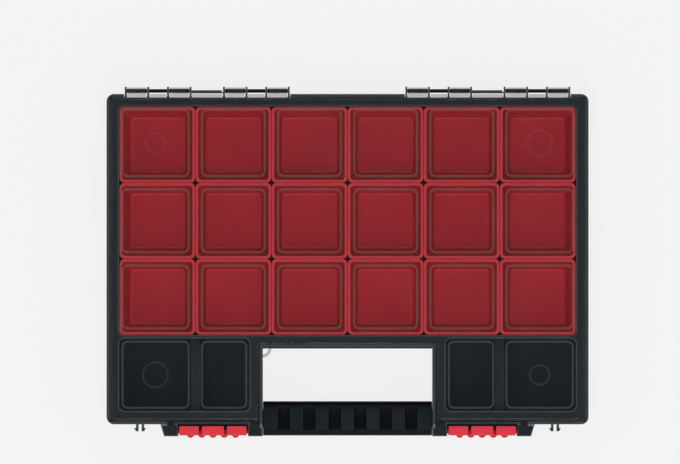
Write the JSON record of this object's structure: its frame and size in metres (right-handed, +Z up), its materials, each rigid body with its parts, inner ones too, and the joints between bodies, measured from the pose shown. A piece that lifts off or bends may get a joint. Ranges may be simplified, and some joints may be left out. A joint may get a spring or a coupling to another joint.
{
  "type": "compartment organizer case",
  "caption": "Flat portable organizer case with a clear hinged lid, lift-out bins, front pockets, two snap latches and a carry handle.",
  "frame": {"origin": "middle of the case's footprint, on the surface that its feet stand on", "axes": "+X to the right, +Y to the back where the hinges are, +Z up; the handle is at the front, at -Y"},
  "size_m": [0.39, 0.2842, 0.0593],
  "materials": {
    "tray_black": "satin",
    "handle_black": "satin",
    "pin_black": "satin",
    "bin_red": "satin",
    "latch_red": "semi-gloss",
    "lid_clear": "polished"
  },
  "bodies": {
    "base": {"base_tray": "tray_black", "carry_handle": "handle_black", "hinge_pin_left_outer": "pin_black", "hinge_pin_left_inner": "pin_black", "hinge_pin_right_inner": "pin_black", "hinge_pin_right_outer": "pin_black"},
    "lid": {"lid": "lid_clear"},
    "latch_left": {"latch_left": "latch_red"},
    "latch_right": {"latch_right": "latch_red"},
    "bin_r1_c1": {"bin_r1_c1": "bin_red"},
    "bin_r1_c2": {"bin_r1_c2": "bin_red"},
    "bin_r1_c3": {"bin_r1_c3": "bin_red"},
    "bin_r1_c4": {"bin_r1_c4": "bin_red"},
    "bin_r1_c5": {"bin_r1_c5": "bin_red"},
    "bin_r1_c6": {"bin_r1_c6": "bin_red"},
    "bin_r2_c1": {"bin_r2_c1": "bin_red"},
    "bin_r2_c2": {"bin_r2_c2": "bin_red"},
    "bin_r2_c3": {"bin_r2_c3": "bin_red"},
    "bin_r2_c4": {"bin_r2_c4": "bin_red"},
    "bin_r2_c5": {"bin_r2_c5": "bin_red"},
    "bin_r2_c6": {"bin_r2_c6": "bin_red"},
    "bin_r3_c1": {"bin_r3_c1": "bin_red"},
    "bin_r3_c2": {"bin_r3_c2": "bin_red"},
    "bin_r3_c3": {"bin_r3_c3": "bin_red"},
    "bin_r3_c4": {"bin_r3_c4": "bin_red"},
    "bin_r3_c5": {"bin_r3_c5": "bin_red"},
    "bin_r3_c6": {"bin_r3_c6": "bin_red"}
  },
  "joints": [
    {"name": "lid_hinge", "type": "hinge", "parent": "base", "child": "lid", "pos_m": [0, 0.13872, 0.046], "axis": [-1, 0, 0], "range_deg": [0, 180]},
    {"name": "latch_left_pivot", "type": "hinge", "parent": "base", "child": "latch_left", "pos_m": [-0.10895, -0.13667, 0.011], "axis": [1, 0, 0], "range_deg": [0, 95]},
    {"name": "latch_right_pivot", "type": "hinge", "parent": "base", "child": "latch_right", "pos_m": [0.10895, -0.13667, 0.011], "axis": [1, 0, 0], "range_deg": [0, 95]},
    {"name": "bin_r1_c1_lift", "type": "slide", "parent": "base", "child": "bin_r1_c1", "axis": [0, 0, 1], "range_m": [0, 0.004]},
    {"name": "bin_r1_c2_lift", "type": "slide", "parent": "base", "child": "bin_r1_c2", "axis": [0, 0, 1], "range_m": [0, 0.004]},
    {"name": "bin_r1_c3_lift", "type": "slide", "parent": "base", "child": "bin_r1_c3", "axis": [0, 0, 1], "range_m": [0, 0.004]},
    {"name": "bin_r1_c4_lift", "type": "slide", "parent": "base", "child": "bin_r1_c4", "axis": [0, 0, 1], "range_m": [0, 0.004]},
    {"name": "bin_r1_c5_lift", "type": "slide", "parent": "base", "child": "bin_r1_c5", "axis": [0, 0, 1], "range_m": [0, 0.004]},
    {"name": "bin_r1_c6_lift", "type": "slide", "parent": "base", "child": "bin_r1_c6", "axis": [0, 0, 1], "range_m": [0, 0.004]},
    {"name": "bin_r2_c1_lift", "type": "slide", "parent": "base", "child": "bin_r2_c1", "axis": [0, 0, 1], "range_m": [0, 0.004]},
    {"name": "bin_r2_c2_lift", "type": "slide", "parent": "base", "child": "bin_r2_c2", "axis": [0, 0, 1], "range_m": [0, 0.004]},
    {"name": "bin_r2_c3_lift", "type": "slide", "parent": "base", "child": "bin_r2_c3", "axis": [0, 0, 1], "range_m": [0, 0.004]},
    {"name": "bin_r2_c4_lift", "type": "slide", "parent": "base", "child": "bin_r2_c4", "axis": [0, 0, 1], "range_m": [0, 0.004]},
    {"name": "bin_r2_c5_lift", "type": "slide", "parent": "base", "child": "bin_r2_c5", "axis": [0, 0, 1], "range_m": [0, 0.004]},
    {"name": "bin_r2_c6_lift", "type": "slide", "parent": "base", "child": "bin_r2_c6", "axis": [0, 0, 1], "range_m": [0, 0.004]},
    {"name": "bin_r3_c1_lift", "type": "slide", "parent": "base", "child": "bin_r3_c1", "axis": [0, 0, 1], "range_m": [0, 0.004]},
    {"name": "bin_r3_c2_lift", "type": "slide", "parent": "base", "child": "bin_r3_c2", "axis": [0, 0, 1], "range_m": [0, 0.004]},
    {"name": "bin_r3_c3_lift", "type": "slide", "parent": "base", "child": "bin_r3_c3", "axis": [0, 0, 1], "range_m": [0, 0.004]},
    {"name": "bin_r3_c4_lift", "type": "slide", "parent": "base", "child": "bin_r3_c4", "axis": [0, 0, 1], "range_m": [0, 0.004]},
    {"name": "bin_r3_c5_lift", "type": "slide", "parent": "base", "child": "bin_r3_c5", "axis": [0, 0, 1], "range_m": [0, 0.004]},
    {"name": "bin_r3_c6_lift", "type": "slide", "parent": "base", "child": "bin_r3_c6", "axis": [0, 0, 1], "range_m": [0, 0.004]}
  ]
}
